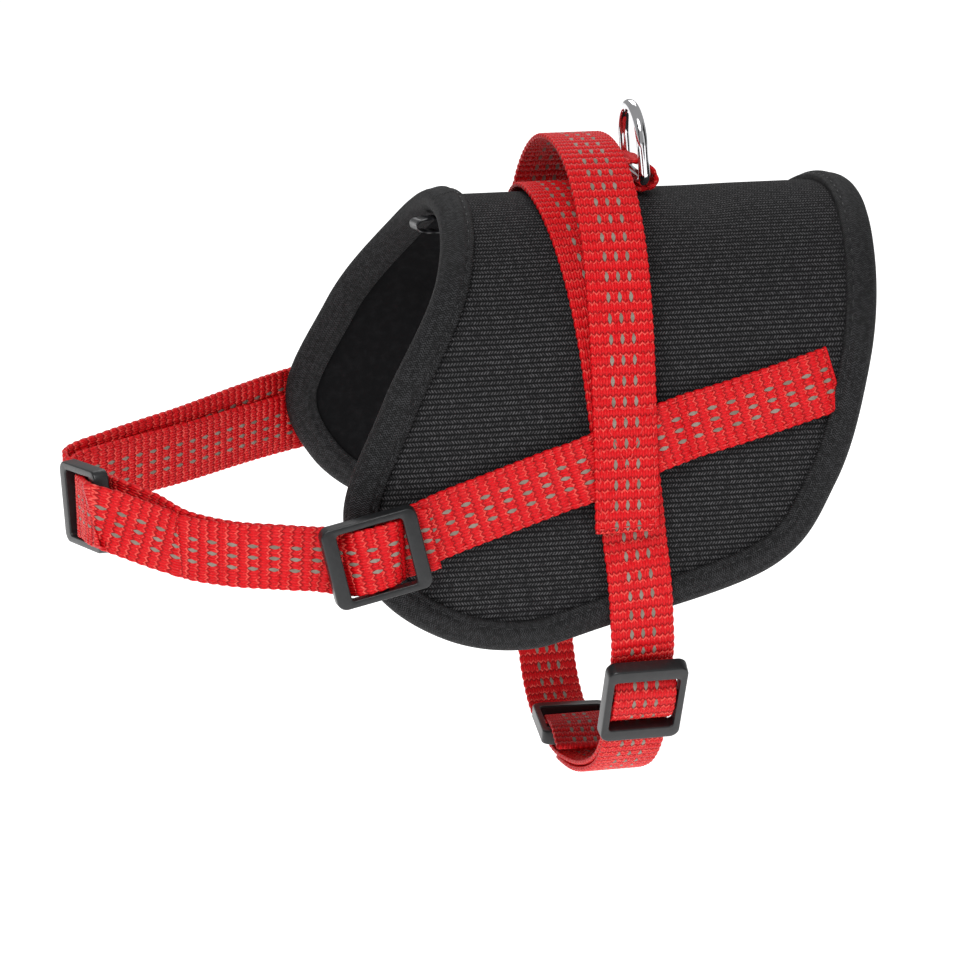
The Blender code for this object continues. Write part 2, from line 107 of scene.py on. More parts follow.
for name, size, power, place in (
    ("key", 0.6, 8.5, (-0.40, -0.65, 0.90)),
    ("fill", 0.9, 1.2, (0.75, -0.75, 0.25)),
    ("rim", 0.6, 2.5, (0.15, 0.80, 0.65)),
):
    light = bpy.data.lights.new(name, "AREA")
    light.energy, light.size = power, size
    lamp = bpy.data.objects.new(name, light)
    lamp.location = place
    lamp.rotation_mode = "QUATERNION"
    lamp.rotation_quaternion = (LOOK_AT - Vector(place)).to_track_quat("-Z", "Y")
    bpy.context.scene.collection.objects.link(lamp)

world = bpy.data.worlds.new("studio")
world.use_nodes = True
bpy.context.scene.world = world
sky = world.node_tree.nodes["Background"]
seen = world.node_tree.nodes.new("ShaderNodeLightPath")
strength = world.node_tree.nodes.new("ShaderNodeMapRange")
strength.inputs["To Min"].default_value, strength.inputs["To Max"].default_value = 0.34, 1.0
world.node_tree.links.new(seen.outputs["Is Camera Ray"], strength.inputs["Value"])
world.node_tree.links.new(strength.outputs[0], sky.inputs["Strength"])
sky.inputs["Color"].default_value = (1, 1, 1, 1)


# --- Materials ---------------------------------------------------------------------------------
class Signal:
    """One number of a shader. Sums and products of signals read as plain arithmetic."""

    def __init__(self, tree, socket):
        self.tree, self.socket = tree, socket

    def apply(self, operation, *others):
        node = self.tree.nodes.new("ShaderNodeMath")
        node.operation = operation
        for slot, value in zip(node.inputs, (self, *others)):
            if isinstance(value, Signal):
                self.tree.links.new(value.socket, slot)
            else:
                slot.default_value = value
        return Signal(self.tree, node.outputs[0])

    def __add__(self, other):
        return self.apply("ADD", other)

    def __sub__(self, other):
        return self.apply("SUBTRACT", other)

    def __mul__(self, other):
        return self.apply("MULTIPLY", other)

    def __truediv__(self, other):
        return self.apply("DIVIDE", other)

    def __rsub__(self, other):
        return self.apply("MULTIPLY", -1.0) + other

    def wave(self):
        """0 at whole numbers, 1 halfway between, round-topped: one thread after another."""
        return (self * math.pi).apply("SINE").apply("ABSOLUTE")

    def zigzag(self):
        """0 at whole numbers, 1 halfway between, straight-sided."""
        return 1.0 - (self.apply("FRACT") * 2.0 - 1.0).apply("ABSOLUTE")

    def ramp(self, low, high):
        """0 below low, 1 above high, smooth between."""
        node = self.tree.nodes.new("ShaderNodeMapRange")
        node.interpolation_type = "SMOOTHSTEP"
        node.inputs["From Min"].default_value, node.inputs["From Max"].default_value = low, high
        self.tree.links.new(self.socket, node.inputs["Value"])
        return Signal(self.tree, node.outputs[0])


class Look:
    """A material with its thread coordinates, its noise and the few links that all cloths share."""

    def __init__(self, name, colour, roughness, metallic=0.0, specular=0.5):
        self.material = bpy.data.materials.new(name)
        self.material.use_nodes = True
        self.tree = self.material.node_tree
        self.shader = self.tree.nodes["Principled BSDF"]
        self.shader.inputs["Base Color"].default_value = (*colour, 1)
        self.shader.inputs["Roughness"].default_value = roughness
        self.shader.inputs["Metallic"].default_value = metallic
        self.shader.inputs["Specular IOR Level"].default_value = specular
        self.colour = None

    def threads(self):
        """Distances along and across the cloth, in millimetres."""
        node = self.tree.nodes.new("ShaderNodeAttribute")
        node.attribute_name = "weave"
        split = self.tree.nodes.new("ShaderNodeSeparateXYZ")
        self.tree.links.new(node.outputs["Vector"], split.inputs[0])
        along, across = (Signal(self.tree, output) for output in split.outputs[:2])
        return along * 1000.0, across * 1000.0

    def noise(self, scale, detail=2.0):
        place = self.tree.nodes.new("ShaderNodeTexCoord")
        node = self.tree.nodes.new("ShaderNodeTexNoise")
        node.inputs["Scale"].default_value = scale
        node.inputs["Detail"].default_value = detail
        self.tree.links.new(place.outputs["Object"], node.inputs["Vector"])
        return Signal(self.tree, node.outputs["Fac"])

    def blend(self, share, colour):
        """Mixes colour over what is there by share."""
        node = self.tree.nodes.new("ShaderNodeMix")
        node.data_type = "RGBA"
        if self.colour is None:
            node.inputs["A"].default_value = self.shader.inputs["Base Color"].default_value
        else:
            self.tree.links.new(self.colour, node.inputs["A"])
        node.inputs["B"].default_value = (*colour, 1)
        self.tree.links.new(share.socket, node.inputs["Factor"])
        self.colour = node.outputs["Result"]
        self.tree.links.new(self.colour, self.shader.inputs["Base Color"])

    def relief(self, height, distance, strength=1.0):
        node = self.tree.nodes.new("ShaderNodeBump")
        node.inputs["Distance"].default_value = distance
        node.inputs["Strength"].default_value = strength
        self.tree.links.new(height.socket, node.inputs["Height"])
        self.tree.links.new(node.outputs[0], self.shader.inputs["Normal"])


RIB = 0.002325


def webbing_look(name, dotted):
    """Red webbing: zigzag ribs across, warp yarns, grey-beige dots, painted shade in the grooves and
    painted highlights on thread edges, crests and dots.
    """
    look = Look(name, (0.690, 0.0015, 0.0060), 0.50, specular=0.20)
    along, across = look.threads()
    rib = along / (1000 * RIB)
    laid = rib + (across / 1.3).zigzag() * 0.30
    crest = (laid + 0.5).wave()
    yarn = (across / 0.65 + 0.5).wave()
    fleck, tone = look.noise(1100.0), look.noise(240.0)
    # Painted shade: darker red in the grooves between the ribs and between the warp yarns.
    look.blend((1.0 - crest).ramp(0.50, 1.0) * 0.75, (0.230, 0.0005, 0.0020))
    look.blend((1.0 - yarn).ramp(0.55, 1.0) * 0.45, (0.340, 0.0008, 0.0030))
    # Painted highlight: pale pink along one edge of each zigzag rib, broken up by the fleck noise.
    edge = ((laid + 0.5).apply("FRACT") - 0.20).apply("ABSOLUTE")
    look.blend((1.0 - edge.ramp(0.03, 0.13)) * fleck.ramp(0.38, 0.58) * 0.75, (1.000, 0.150, 0.115))
    # Painted highlight: lighter red on the yarn tops along the rib crests.
    painted_crest_highlight = yarn.ramp(0.6, 1.0) * crest.ramp(0.4, 1.0) * fleck.ramp(0.46, 0.62)
    look.blend(painted_crest_highlight * 0.50, (0.900, 0.045, 0.040))
    look.blend(tone.ramp(0.45, 0.75) * 0.20, (0.480, 0.0010, 0.0050))
    height = crest * 0.40 + yarn * 0.45 + (1.0 - edge.ramp(0.02, 0.12)) * 0.20 + fleck * 0.15
    if dotted:
        beside = ((across / 2.6 + 0.5).apply("FRACT") - 0.5) * (2.6 / 0.50)
        ahead = ((rib * 0.5).apply("FRACT") - 0.5) * (4.65 / 1.28)
        reach = beside.apply("ABSOLUTE").apply("POWER", 1.4)
        reach = reach + ahead.apply("ABSOLUTE").apply("POWER", 1.5)
        dot = (1.0 - reach.ramp(0.80, 1.05)) * (1.0 - across.apply("ABSOLUTE").ramp(3.7, 3.8))
        look.blend(dot, (0.205, 0.160, 0.125))
        # Painted highlight: paler stripes along the threads of each dot.
        painted_filament_highlight = (across / 0.26).wave().ramp(0.0, 0.7)
        look.blend(dot * painted_filament_highlight * tone.ramp(0.3, 0.7) * 0.6, (0.390, 0.335, 0.290))
        height = height * (1.0 - dot) + dot
    look.relief(height, 0.00030)
    return look.material


red = webbing_look("red_webbing", True)
red_plain = webbing_look("red_webbing_plain", False)

# Cover: dark softshell with rows of slanting knit stitches along the dog.
knit = Look("ribbed_knit", (0.0065, 0.0065, 0.0070), 0.85, specular=0.15)
knit_x, knit_s = knit.threads()
row = (knit_s / 1.16 + knit.noise(45.0) * 0.12).wave()
stitch = (knit_x / 0.68 + (knit_s / 2.32).zigzag() * 1.1).wave()
fuzz = knit.noise(1300.0)
# Painted highlight: light grey on the stitch crests along each row, broken up by the fuzz noise.
painted_stitch_highlight = row.ramp(0.35, 0.90) * stitch.ramp(0.30, 0.95) * (fuzz.ramp(0.35, 0.65) * 0.7 + 0.3)
knit.blend(painted_stitch_highlight * 0.95, (0.092, 0.090, 0.094))
knit.blend(fuzz.ramp(0.71, 0.76) * 0.5, (0.070, 0.070, 0.074))
knit.relief(row * 0.20 + stitch * 0.55 + fuzz * 0.25, 0.00022, 0.9)

# Lining: brushed dark knit with a soft nap.
lining = Look("brushed_lining", (0.0050, 0.0050, 0.0056), 0.90, specular=0.10)
nap = lining.noise(500.0, 6.0)
lining.blend(nap.ramp(0.40, 0.80) * 0.6, (0.0120, 0.0120, 0.0130))
lining.relief(nap, 0.00030, 0.7)

# Binding: woven tape in a small herringbone.
tape = Look("woven_tape", (0.0055, 0.0055, 0.0058), 0.70, specular=0.25)
tape_along, tape_across = tape.threads()
twill = (tape_along / 0.62 + (tape_across / 1.2).zigzag() * 0.9).wave()
grain = tape.noise(1200.0)
tape.blend(twill.ramp(0.40, 0.95) * (grain.ramp(0.38, 0.62) * 0.8 + 0.2) * 0.8, (0.044, 0.044, 0.047))
tape.relief(twill * 0.8 + grain * 0.2, 0.00020, 0.9)

# Label: dark satin; sliders: moulded plastic with a fine skin; ring: plated steel; thread.
satin = Look("satin", (0.012, 0.012, 0.014), 0.28)
satin.blend(satin.noise(300.0).ramp(0.4, 0.7) * 0.5, (0.022, 0.022, 0.025))
plastic = Look("moulded_plastic", (0.0105, 0.0110, 0.0120), 0.36)
pores = plastic.noise(700.0, 3.0)
plastic.blend(pores.ramp(0.4, 0.7) * 0.5, (0.0175, 0.0185, 0.0200))
plastic.relief(pores, 0.00006, 0.5)
steel = Look("plated_steel", (0.78, 0.78, 0.80), 0.09, metallic=1.0)
steel.blend(steel.noise(220.0).ramp(0.45, 0.80) * 0.4, (0.60, 0.60, 0.62))
red_thread = Look("red_thread", (0.700, 0.020, 0.022), 0.45)
red_thread.blend(red_thread.noise(2500.0).ramp(0.4, 0.7) * 0.5, (0.86, 0.08, 0.07))
dark_thread = Look("dark_thread", (0.010, 0.010, 0.011), 0.45)
dark_thread.blend(dark_thread.noise(2500.0).ramp(0.4, 0.7) * 0.6, (0.030, 0.030, 0.032))

# --- The saddle's wrapped shape ----------------------------------------------------------------
# The saddle is cut flat, then wrapped over the back: a tight arc over the ridge, and a wide one
# down each flank. Flat places are (x, s), with s measured from the ridge, and lift is square to it.
PANEL = 0.0038
RIDGE_RADIUS, RIDGE_SWEEP = 0.044, math.radians(75)
FLANK_RADIUS = 0.200
HALF_SPAN, SLIP = 0.1195, 0.0016
OUTLINE_X = (
    -0.0500, -0.0540, -0.0685, -0.0786, -0.0718, -0.0565, -0.0385,
    -0.0200, 0.0200, 0.0352, 0.0435, 0.0488, 0.0518,
)
WEB, WEB_THICK, GAP = 0.015, 0.0013, 0.0003
ON_CLOTH = GAP + WEB_THICK / 2
LAYER = WEB_THICK + GAP
TAPE = 0.0007
ON_BINDING = ON_CLOTH + TAPE + GAP
ON_GIRTH = ON_CLOTH + LAYER
ON_CHEST = ON_GIRTH + LAYER


def catmull_rom(before, start, end, after, share):
    return 0.5 * (
        2 * start
        + (end - before) * share
        + (2 * before - 5 * start + 4 * end - after) * share**2
        + (3 * start - before - 3 * end + after) * share**3
    )


def outline(angle):
    """A point (x, s) of the flat outline; angle in degrees, 0 at the front of the ridge."""
    count = len(OUTLINE_X) - 1
    turned = abs((angle + 180) % 360 - 180) / 15
    index = min(int(turned), count - 1)
    values = [OUTLINE_X[min(abs(k), 2 * count - k)] for k in range(index - 1, index + 3)]
    x = catmull_rom(*values, turned - index)
    return Vector((x, HALF_SPAN * math.sin(math.radians(angle)) - SLIP))


def inset_outline(angle, inset):
    along = (outline(angle + 0.5) - outline(angle - 0.5)).normalized()
    return outline(angle) + inset * Vector((along.y, -along.x))


def wrap(x, s, lift):
    """The place and the outward normal of a flat point."""
    side = 1 if s >= 0 else -1
    ridge = RIDGE_RADIUS * RIDGE_SWEEP
    turn, radius = abs(s) / RIDGE_RADIUS, RIDGE_RADIUS
    centre_y, centre_z = 0.0, PANEL - RIDGE_RADIUS
    if abs(s) > ridge:
        turn, radius = RIDGE_SWEEP + (abs(s) - ridge) / FLANK_RADIUS, FLANK_RADIUS
        centre_y += (RIDGE_RADIUS - FLANK_RADIUS) * math.sin(RIDGE_SWEEP)
        centre_z += (RIDGE_RADIUS - FLANK_RADIUS) * math.cos(RIDGE_SWEEP)
    normal = Vector((0.0, side * math.sin(turn), math.cos(turn)))
    return Vector((x, side * centre_y, centre_z)) + (radius + lift) * normal, normal


def eased(value, low, high):
    share = min(1.0, max(0.0, (value - low) / (high - low)))
    return share * share * (3 - 2 * share)


def girth_x(s):
    """Where the girth strap's middle lies in the flat: it leans back down each flank."""
    return -0.0205 + 0.098 * (math.hypot(s, 0.02) - 0.02)


def handle_x(s):
    return -0.0145 - 0.020 * min(abs(s), 0.045)


CHEST_FLAT = (
    (0.0300, 0.0631), (0.0120, 0.0679), (-0.0066, 0.0725),
    (-0.0232, 0.0787), (-0.0393, 0.0839), (-0.0600, 0.0904),
)


def chest_away(x, s):
    """Distance in the flat from the middle of the chest strap on either flank."""
    found = 1.0
    for start, end in zip(CHEST_FLAT, CHEST_FLAT[1:]):
        a, b, p = Vector(start), Vector(end), Vector((x, abs(s)))
        share = min(1.0, max(0.0, (p - a).dot(b - a) / (b - a).length_squared))
        found = min(found, (p - a.lerp(b, share)).length)
    return found


def skin(name, rings, weave, look, closed=False):
    """A closed skin over rings of points. weave holds each point's distances along and across."""
    rows, around = len(rings), len(rings[0])
    steps = rows - 1 + closed
    bm = bmesh.new()
    layer = bm.verts.layers.float_vector.new("weave")
    bmesh.ops.create_grid(bm, x_segments=steps, y_segments=around, size=1)
    for vert in bm.verts:
        i = round((vert.co.x + 1) / 2 * steps) % rows
        j = round((vert.co.y + 1) / 2 * around) % around
        vert[layer] = weave[i][j]
        vert.co = rings[i][j]
    bmesh.ops.remove_doubles(bm, verts=bm.verts, dist=2e-7)
    open_edges = [edge for edge in bm.edges if edge.is_boundary]
    if open_edges:
        bmesh.ops.holes_fill(bm, edges=open_edges)
    bmesh.ops.recalc_face_normals(bm, faces=bm.faces)
    mesh = bpy.data.meshes.new(name)
    bm.to_mesh(mesh)
    bm.free()
    mesh.materials.append(look)
    mesh.shade_smooth()
    made = bpy.data.objects.new(name, mesh)
    bpy.context.scene.collection.objects.link(made)
    return made


# --- Saddle: cover, padding and lining ---------------------------------------------------------
# Two cloths with a soft sheet between them, stitched through under the webbing and at the rim, so
# that the padding swells between the seams. One closed skin, blown up a little as cloth.
ROWS, COLUMNS = 72, 30
SADDLE_INSET, COVER_DROP, LINING_RISE = 0.0029, 0.0005, 0.0004
SWELL, MOST_SWELL, QUICK_SWELL = 0.0011, 0.0013, 0.0009
CLOTH_FRAMES, PRESSURE = 20, 80.0
saddle_rings, saddle_weave = [], []
for i in range(ROWS + 1):
    angle = 180 * i / ROWS - 90
    front, back = inset_outline(angle, SADDLE_INSET), inset_outline(180 - angle, SADDLE_INSET)
    ring, marks = [], []
    for layer, order in ((1, range(COLUMNS + 1)), (-1, range(COLUMNS, -1, -1))):
        for j in order:
            flat = front.lerp(back, j / COLUMNS)
            lift = -COVER_DROP if layer > 0 else -PANEL + LINING_RISE
            ring.append(wrap(flat.x, flat.y, lift)[0])
            marks.append((flat.x, flat.y, layer))
    saddle_rings.append(ring)
    saddle_weave.append(marks)
saddle = skin("saddle", saddle_rings, saddle_weave, knit.material)
saddle.data.materials.append(lining.material)


def vectors_of(data, field):
    values = np.zeros(len(data) * 3, np.float32)
    data.foreach_get(field, values)
    return values.reshape(-1, 3)


def stitched(x, s):
    """1 where the saddle is sewn flat, falling to 0 in the open fields."""
    edge = min((outline(a) - Vector((x, s))).length for a in range(-180, 180, 4))
    held = 1 - eased(edge, 0.0065, 0.0130)
    held = max(held, 1 - eased(abs(x - girth_x(s)), 0.0066, 0.0110))
    if 0.060 < abs(s) < 0.094:
        held = max(held, 1 - eased(abs(x - handle_x(s)), 0.0070, 0.0110))
    return max(held, 1 - eased(chest_away(x, s), 0.0064, 0.0110))


marks = vectors_of(saddle.data.attributes["weave"].data, "vector")
rest = vectors_of(saddle.data.vertices, "co")
held = np.array([stitched(float(x), float(s)) for x, s, _ in marks])
pins = saddle.vertex_groups.new(name="sewn")
for index, weight in enumerate(held):
    pins.add([index], float(weight), "REPLACE")
cloth = saddle.modifiers.new("cloth", "CLOTH")
cloth.settings.vertex_group_mass = "sewn"
cloth.settings.use_pressure = True
cloth.settings.uniform_pressure_force = PRESSURE
cloth.settings.effector_weights.gravity = 0
cloth.settings.quality = 6
for number in range(1, CLOTH_FRAMES + 1):
    bpy.context.scene.frame_set(number)
puffed = saddle.evaluated_get(bpy.context.evaluated_depsgraph_get())
moved = vectors_of(puffed.data.vertices, "co")
saddle.modifiers.clear()
bpy.context.scene.frame_set(1)
push = moved - rest
reach = np.percentile(np.linalg.norm(push, axis=1), 97)
push *= SWELL / max(reach, 1e-9)
length = np.linalg.norm(push, axis=1)
push *= (np.minimum(length, MOST_SWELL) / np.maximum(length, 1e-12))[:, None]
moved = rest + push
# A dent in the ridge behind the ring's tab, where the stitches pull, and a soft hollow in front.
dent = 0.0
for depth, x, x_reach, s, s_reach in (
    (0.0016, 0.0125, 0.0065, -0.006, 0.010),
    (0.0009, -0.040, 0.0080, -0.060, 0.030),
):
    away = ((marks[:, 0] - x) / x_reach) ** 2 + ((marks[:, 1] - s) / s_reach) ** 2
    dent = dent + depth * np.exp(-away)
down = np.array([tuple(wrap(float(x), float(s), 0)[1]) for x, s, _ in marks])
moved = moved - down * dent[:, None]
saddle.data.vertices.foreach_set("co", moved.astype(np.float32).ravel())
for face in saddle.data.polygons:
    face.material_index = int(np.mean([marks[v][2] for v in face.vertices]) < 0)
smooth = saddle.modifiers.new("smooth", "SUBSURF")
smooth.levels = smooth.render_levels = 1
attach(saddle, "harness")
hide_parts("saddle_cover", "saddle_foam", "saddle_lining")

# --- Edge binding ------------------------------------------------------------------------------
# Woven tape folded over the rim and sewn through near its inner margins; it stands up a little
# between the fold and the seam.
ROLL = PANEL / 2 + GAP + TAPE / 2
EDGE_INSET = ROLL + TAPE / 2
TAPE_LEG = 0.0045
SEAM_INSET = EDGE_INSET + TAPE_LEG - 0.0013
BINDING_STEPS, SEAM_STEPS = 640, 1200


def tape_section():
    """(inset, lift, distance across) round the folded tape: outside, then back inside."""
    points = []
    for k in range(13):
        share = k / 12
        inset = EDGE_INSET + TAPE_LEG * (1 - share)
        sewn = math.exp(-(((inset - SEAM_INSET) / 0.0006) ** 2))
        puff = 0.00045 * math.sin(math.pi * min(1.0, (1 - share) * 1.15)) - 0.00040 * sewn
        fall = 0.0005 * eased(inset, EDGE_INSET + TAPE_LEG - 0.0007, EDGE_INSET + TAPE_LEG)
        points.append((inset, ROLL + TAPE / 2 + puff - fall, TAPE_LEG * share))
    for k in range(1, 12):
        turn = math.pi * k / 12
        radius = ROLL + TAPE / 2 + 0.0001 * math.sin(turn)
        inset = EDGE_INSET - radius * math.sin(turn)
        points.append((inset, radius * math.cos(turn), TAPE_LEG + radius * turn))
    last = 2 * TAPE_LEG + 0.0092
    outer = [(inset, -lift, last - across) for inset, lift, across in reversed(points[:13])]
    inner = [(EDGE_INSET + TAPE_LEG, h, 0.0) for h in (-0.0014, 0.0, 0.0014)]
    return points + outer + inner


section = tape_section()
binding_rings, binding_weave, travelled, last_edge = [], [], 0.0, outline(0)
for k in range(BINDING_STEPS):
    angle = 360 * k / BINDING_STEPS
    travelled += (outline(angle) - last_edge).length
    last_edge = outline(angle)
    ring = []
    for inset, lift, across in section:
        flat = inset_outline(angle, inset)
        ring.append(wrap(flat.x, flat.y, lift - PANEL / 2)[0])
    binding_rings.append(ring)
    binding_weave.append([(travelled, across, 0) for _, _, across in section])
binding = skin("binding", binding_rings, binding_weave, tape.material, closed=True)
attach(binding, "harness")
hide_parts("edge_binding")


def stitches(name, runs, look, length=0.0021, gap=0.0009, thick=0.00022):
    """Lines of thread: a small rounded stitch along each run of (place, normal) pairs."""
    bm = bmesh.new()
    layer = bm.verts.layers.float_vector.new("weave")
    for run in runs:
        walked, due = 0.0, 0.0
        for (a, normal), (b, _) in zip(run, run[1:]):
            walked += (b - a).length
            if walked < due or (b - a).length == 0:
                continue
            due = walked + length + gap
            x_axis = (b - a).normalized()
            y_axis = Vector(normal).cross(x_axis).normalized()
            turn = Matrix((x_axis, y_axis, x_axis.cross(y_axis))).transposed().to_4x4()
            turn.translation = a
            stretch = Matrix.Diagonal((length / 2, thick, thick, 1))
            bmesh.ops.create_icosphere(bm, subdivisions=1, radius=1, matrix=turn @ stretch)
    for vert in bm.verts:
        vert[layer] = vert.co
    mesh = bpy.data.meshes.new(name)
    bm.to_mesh(mesh)
    bm.free()
    mesh.materials.append(look)
    mesh.shade_smooth()
    made = bpy.data.objects.new(name, mesh)
    bpy.context.scene.collection.objects.link(made)
    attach(made, "harness")
    return made


seam_run = []
for k in range(SEAM_STEPS + 1):
    flat = inset_outline(360 * k / SEAM_STEPS, SEAM_INSET)
    seam_run.append(wrap(flat.x, flat.y, 0.00085))
stitches("binding_stitches", [seam_run], dark_thread.material)


# --- Webbing -----------------------------------------------------------------------------------
# Flat woven polyester, 15 mm wide, with rounded ribs across it and slightly scalloped selvedges.
def smooth_route(points, step=0.0006):
    points = [Vector(p) for p in points]
    ends = [2 * points[0] - points[1], *points, 2 * points[-1] - points[-2]]
    route = []
    for before, start, end, after in zip(ends, ends[1:], ends[2:], ends[3:]):
        count = max(1, round((end - start).length / step))
        route += [catmull_rom(before, start, end, after, k / count) for k in range(count)]
    return [*route, points[-1]]


def level_normals(places):
    ways = np.gradient(np.array(places), axis=0)
    normals = np.cross((0.0, 0.0, 1.0), ways)
    return normals / np.linalg.norm(normals, axis=1)[:, None]


def lengthwise_normals(places):
    """Outward normals of a strap that runs round the body, square to the dog's length."""
    ways = np.gradient(np.array(places), axis=0)
    normals = np.cross(ways, (1.0, 0.0, 0.0))
    return normals / np.linalg.norm(normals, axis=1)[:, None]


def averaged(values, reach):
    first, last = np.repeat(values[:1], reach, 0), np.repeat(values[-1:], reach, 0)
    padded = np.concatenate([first, values, last])
    sums = np.cumsum(np.concatenate([np.zeros((1, 3)), padded]), axis=0)
    return (sums[2 * reach + 1:] - sums[: -2 * reach - 1]) / (2 * reach + 1)


FACE = 44


def strap(name, places, normals, look=red, width=WEB, thick=WEB_THICK, start=0.0, soften=4, cut=None):
    """One length of webbing. start is its weave's phase, and cut gives (from, to) along its route."""
    places, normals = np.array(places, float), averaged(np.array(normals, float), soften)
    walked = np.concatenate([[0], np.cumsum(np.linalg.norm(np.diff(places, axis=0), axis=1))])
    low, high = cut or (0.0, walked[-1])
    count = max(8, round((high - low) / (RIB / 6)))
    stations = np.linspace(low, high, count + 1)
    centre = np.stack([np.interp(stations, walked, places[:, k]) for k in range(3)], 1)
    outward = np.stack([np.interp(stations, walked, normals[:, k]) for k in range(3)], 1)
    ways = np.gradient(centre, axis=0)
    ways /= np.linalg.norm(ways, axis=1)[:, None]
    side = np.cross(outward, ways)
    side /= np.linalg.norm(side, axis=1)[:, None]
    outward = np.cross(ways, side)
    # 44 threads' samples on each face, four to a zigzag, and three round each selvedge.
    flat = [0.000325 * (k - (FACE - 1) / 2) * width / WEB for k in range(FACE)]
    edge = [(width / 2 - 0.0001, 0.62), (width / 2, 0.0), (width / 2 - 0.0001, -0.62)]
    ring = [(v, 1) for v in flat] + edge + [(-v, -1) for v in flat] + [(-v, -h) for v, h in edge]
    across, height = np.array(ring).T
    phase = (stations + start)[:, None] / RIB
    zigzag = 1 - np.abs(2 * np.mod(across / 0.0013, 1) - 1)
    crest = np.abs(np.sin(np.pi * (phase + 0.30 * zigzag + 0.5)))
    yarn = np.abs(np.sin(np.pi * (across / 0.0013)))
    selvedge = np.abs(np.sin(np.pi * (phase + 0.5)))
    scallop = 1 - 0.034 * (1 - selvedge) * (np.abs(across) > 0.42 * width)
    swell = (0.00026 * (crest - 0.4) + 0.00007 * yarn) * (np.abs(height) > 0.9)
    lift = height * (0.5 * thick - 0.00016 + swell)
    rings = centre[:, None] + side[:, None] * (across * scallop)[..., None]
    rings = rings + outward[:, None] * lift[..., None]
    weave = [[(float(u + start), float(v), 0.0) for v in across] for u in stations]
    return skin(name, rings.tolist(), weave, look)


def sewn_run(points, side, lift_at):
    return [wrap(f.x, f.y, lift_at(f)) for f in smooth_route([(x, side * s) for x, s in points])]


def chest_lift(flat):
    """On the cloth, over the girth strap, over the binding, and tucked under it at the back end."""
    over_girth = 1 - eased(abs(flat.x - girth_x(abs(flat.y))), 0.0108, 0.0165)
    over_edge = 1 - eased(flat.x, -0.0612, -0.0532)
    tucked = eased(flat.x, 0.0300, 0.0350)
    return ON_CLOTH + LAYER * over_girth + (ON_BINDING - ON_CLOTH) * over_edge - 0.0013 * tucked


CHEST_ROUTE = (
    (-0.0729, -0.0513, -0.0649), (-0.0830, -0.0510, -0.0655), (-0.0950, -0.0497, -0.0645),
    (-0.1040, -0.0466, -0.0641), (-0.1130, -0.0411, -0.0629), (-0.1190, -0.0348, -0.0608),
    (-0.1258, -0.0298, -0.0585), (-0.1293, -0.0187, -0.0599), (-0.1321, -0.0100, -0.0611),
    (-0.1347, -0.0057, -0.0608), (-0.1348, -0.0017, -0.0604), (-0.1322, 0.0014, -0.0603),
    (-0.1275, 0.0048, -0.0603), (-0.1190, 0.0120, -0.0607), (-0.1064, 0.0230, -0.0616),
    (-0.0920, 0.0364, -0.0623), (-0.0845, 0.0434, -0.0628), (-0.0795, 0.0479, -0.0632),
    (-0.0735, 0.0514, -0.0632),
)
BELLY_ROUTE = (
    (-0.0112, -0.0514, -0.0868), (-0.0109, -0.0510, -0.0912), (-0.0105, -0.0491, -0.0955),
    (-0.0102, -0.0456, -0.1040), (-0.0101, -0.0421, -0.1125), (-0.0101, -0.0380, -0.1200),
    (-0.0102, -0.0320, -0.1262), (-0.0105, -0.0245, -0.1307), (-0.0109, -0.0160, -0.1343),
    (-0.0113, -0.0070, -0.1369), (-0.0117, 0.0010, -0.1385), (-0.0119, 0.0097, -0.1389),
    (-0.0118, 0.0190, -0.1393), (-0.0118, 0.0285, -0.1378), (-0.0119, 0.0360, -0.1335),
    (-0.0120, 0.0410, -0.1272), (-0.0121, 0.0442, -0.1190), (-0.0121, 0.0468, -0.1100),
    (-0.0120, 0.0490, -0.1005), (-0.0117, 0.0508, -0.0915),
)

# Chest strap: sewn along both flanks, its ends caught under the binding, and free in front.
flank = ((0.0352, 0.0617), (0.0300, 0.0631), *CHEST_FLAT[1:])
left_sewn = sewn_run(flank, -1, chest_lift)
right_sewn = sewn_run(reversed(flank), 1, chest_lift)
chest_free = smooth_route((left_sewn[-1][0], *CHEST_ROUTE, right_sewn[0][0]))[1:-1]
chest_places = [p for p, _ in left_sewn] + chest_free + [p for p, _ in right_sewn]
chest_normals = level_normals(chest_places)
chest_normals[: len(left_sewn)] = [n for _, n in left_sewn]
chest_normals[-len(right_sewn):] = [n for _, n in right_sewn]
chest = strap("chest_strap_web", chest_places, chest_normals, soften=6)
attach(chest, "harness")
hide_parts("chest_strap")

# --- Webbing through the chest adjusters -------------------------------------------------------
# One length: from a seam behind the near adjuster, round its bar, along the front, over the near
# bar of the far adjuster and round its middle bar, then on over the strap to the far flank.
FRAME_LONG, FRAME_WIDE, FRAME_HALF = 0.0220, 0.0190, 0.0017
SLIDER_FOOT = LAYER + WEB_THICK / 2 + GAP
LOOP_HIGH = SLIDER_FOOT + 0.0026
LOOP_OVER = SLIDER_FOOT + 2 * FRAME_HALF + GAP + WEB_THICK / 2
RISING = 0.55 * LOOP_HIGH + 0.45 * LAYER
ON_STRAP = LAYER + 0.0003
ROUND_BAR = (
    (-0.0070, ON_STRAP), (-0.0056, RISING), (-0.0032, LOOP_HIGH), (0.0, LOOP_HIGH + 0.0003),
    (0.0032, LOOP_HIGH), (0.0056, RISING), (0.0070, ON_STRAP),
)
OVER_BAR = (
    (-0.0070, ON_STRAP), (-0.0048, RISING), (-0.0025, LOOP_HIGH), (0.0, LOOP_HIGH + 0.0003),
    (0.0032, LOOP_HIGH + 0.0009), (0.0060, LOOP_OVER - 0.0002), (0.0082, LOOP_OVER), (0.0112, LOOP_OVER),
)
